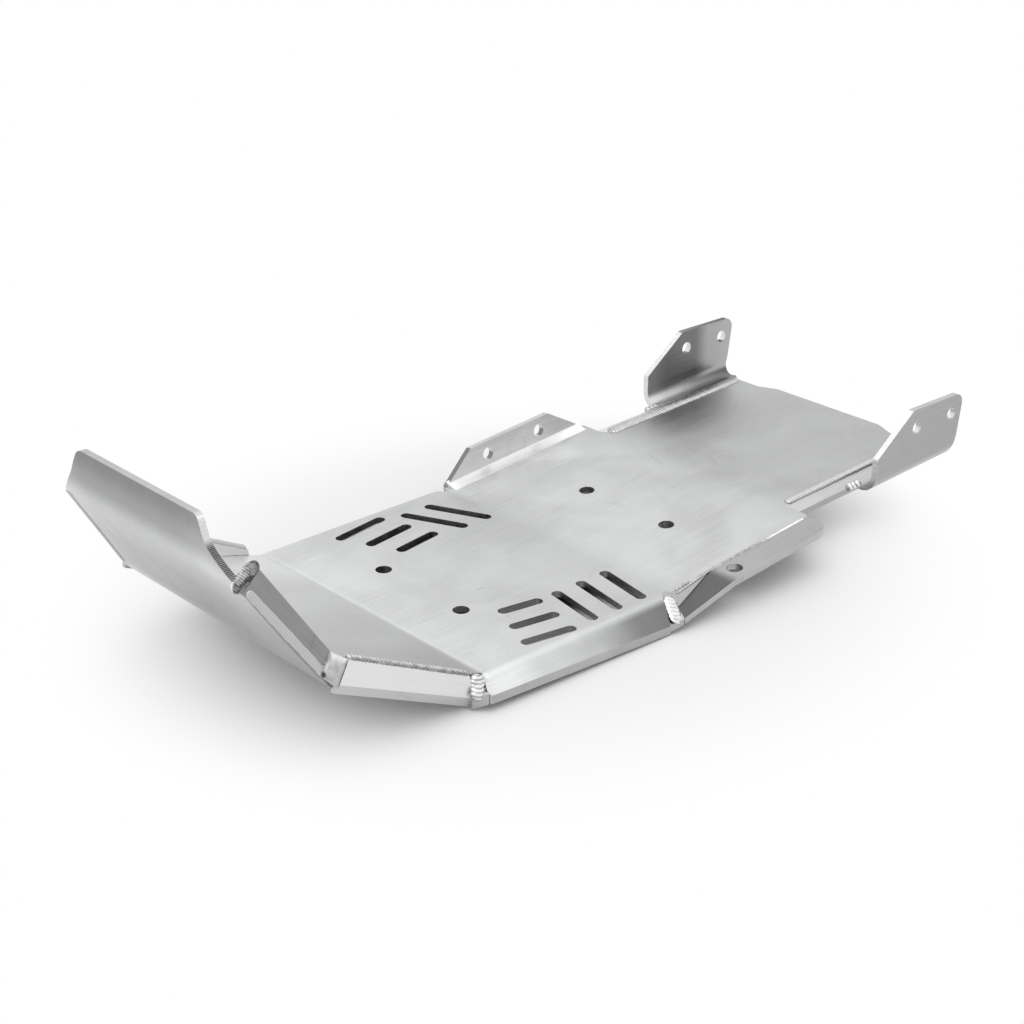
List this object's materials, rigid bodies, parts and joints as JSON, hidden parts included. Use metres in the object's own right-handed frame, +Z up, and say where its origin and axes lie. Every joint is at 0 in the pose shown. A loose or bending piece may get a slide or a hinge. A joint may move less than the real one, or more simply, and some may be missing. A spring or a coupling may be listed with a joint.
{
  "type": "motorcycle skid plate",
  "caption": "Welded aluminium skid plate for a motorcycle: a folded sheet that rises to a nose in front, with drain slots and bolt tabs along its sides.",
  "frame": {"origin": "midway between the two front deck holes, on the deck's top face", "axes": "+X forward to the nose, +Y to the motorcycle's left, +Z up"},
  "size_m": [0.5576, 0.2342, 0.1381],
  "materials": {
    "plate_aluminium": "brushed mill finish, light grey",
    "side_aluminium": "brushed mill finish with ground edges",
    "bracket_aluminium": "brushed mill finish",
    "weld_aluminium": "bright rippled weld bead"
  },
  "bodies": {
    "root": {"main_plate": "plate_aluminium", "ramp_strip_left": "side_aluminium", "ramp_strip_right": "side_aluminium", "nose_cheek_left": "side_aluminium", "nose_cheek_right": "side_aluminium", "rear_bracket_left": "bracket_aluminium", "rear_bracket_right": "bracket_aluminium", "ledge_bracket_left": "bracket_aluminium", "mid_tab_right": "bracket_aluminium", "strip_bead_left": "weld_aluminium", "strip_bead_right": "weld_aluminium", "cheek_seam_bead_left": "weld_aluminium", "cheek_seam_bead_right": "weld_aluminium", "cheek_cap_weld_left": "weld_aluminium", "cheek_cap_weld_right": "weld_aluminium", "corner_patch_weld_left": "weld_aluminium", "corner_patch_weld_right": "weld_aluminium", "fold_corner_weld_left": "weld_aluminium", "fold_corner_weld_right": "weld_aluminium", "tail_bead_left": "weld_aluminium", "tail_bead_right": "weld_aluminium", "bracket_tack_weld_left": "weld_aluminium", "bracket_tack_weld_right": "weld_aluminium", "ledge_foot_weld": "weld_aluminium", "ledge_edge_bead": "weld_aluminium", "mid_tab_fillet_weld": "weld_aluminium"}
  },
  "joints": []
}
